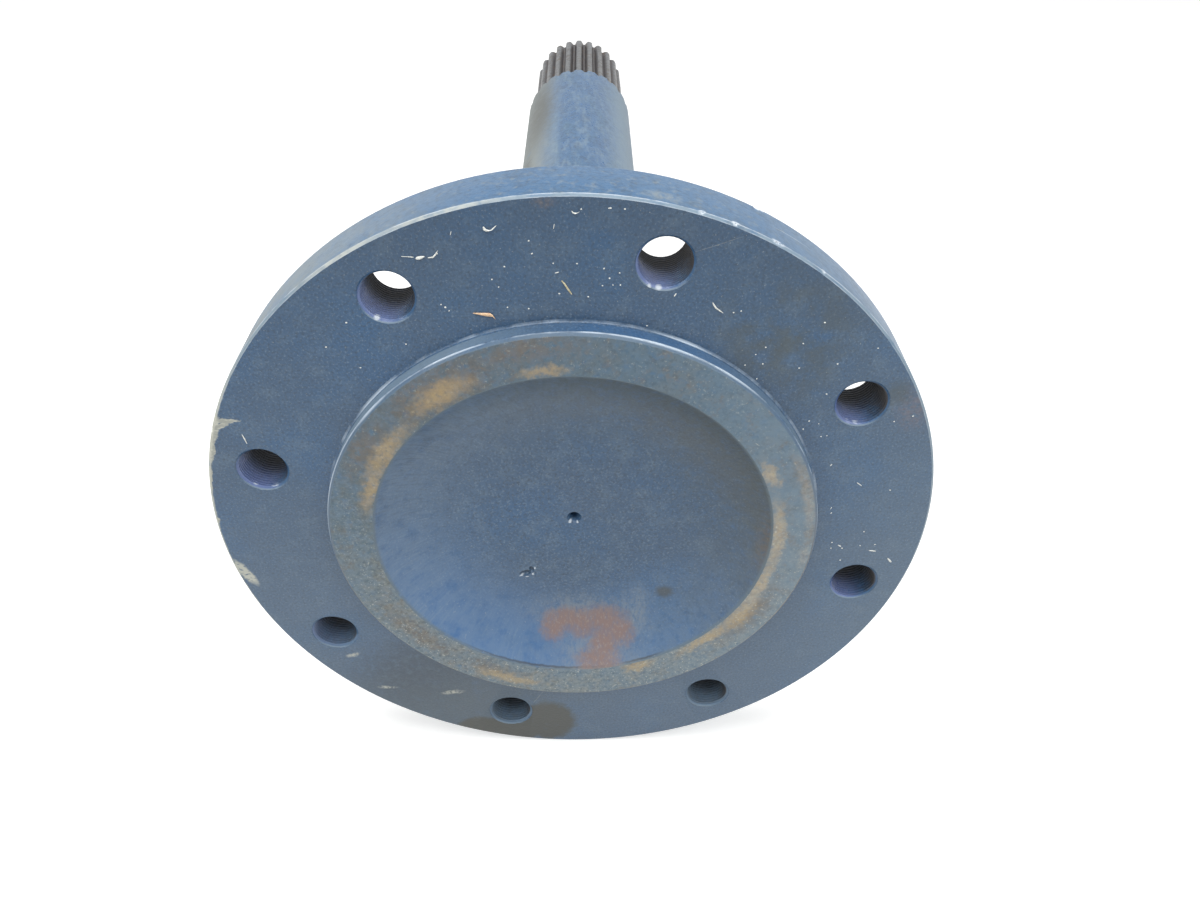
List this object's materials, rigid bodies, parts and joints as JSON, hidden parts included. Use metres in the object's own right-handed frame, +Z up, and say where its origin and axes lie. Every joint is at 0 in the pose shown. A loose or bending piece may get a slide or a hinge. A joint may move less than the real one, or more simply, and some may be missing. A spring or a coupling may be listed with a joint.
{
  "type": "flanged rear axle shaft",
  "caption": "One-piece tractor rear axle shaft: a round bolted wheel flange with a raised pilot ring and dished centre, a plain shaft and a splined drive end.",
  "frame": {"origin": "where the shaft's axis crosses the flat face of the flange that the wheel disc is bolted against", "axes": "-Y out of the wheel face along the shaft's axis, +Y along the shaft to its splined end, +Z up with the shaft level as it is carried in its housing"},
  "size_m": [0.32, 0.6302, 0.32],
  "materials": {
    "axle_shaft": "dull slate blue machine paint, worn and rusted, the splines bare"
  },
  "bodies": {
    "root": {"axle_shaft": "axle_shaft"}
  },
  "joints": []
}
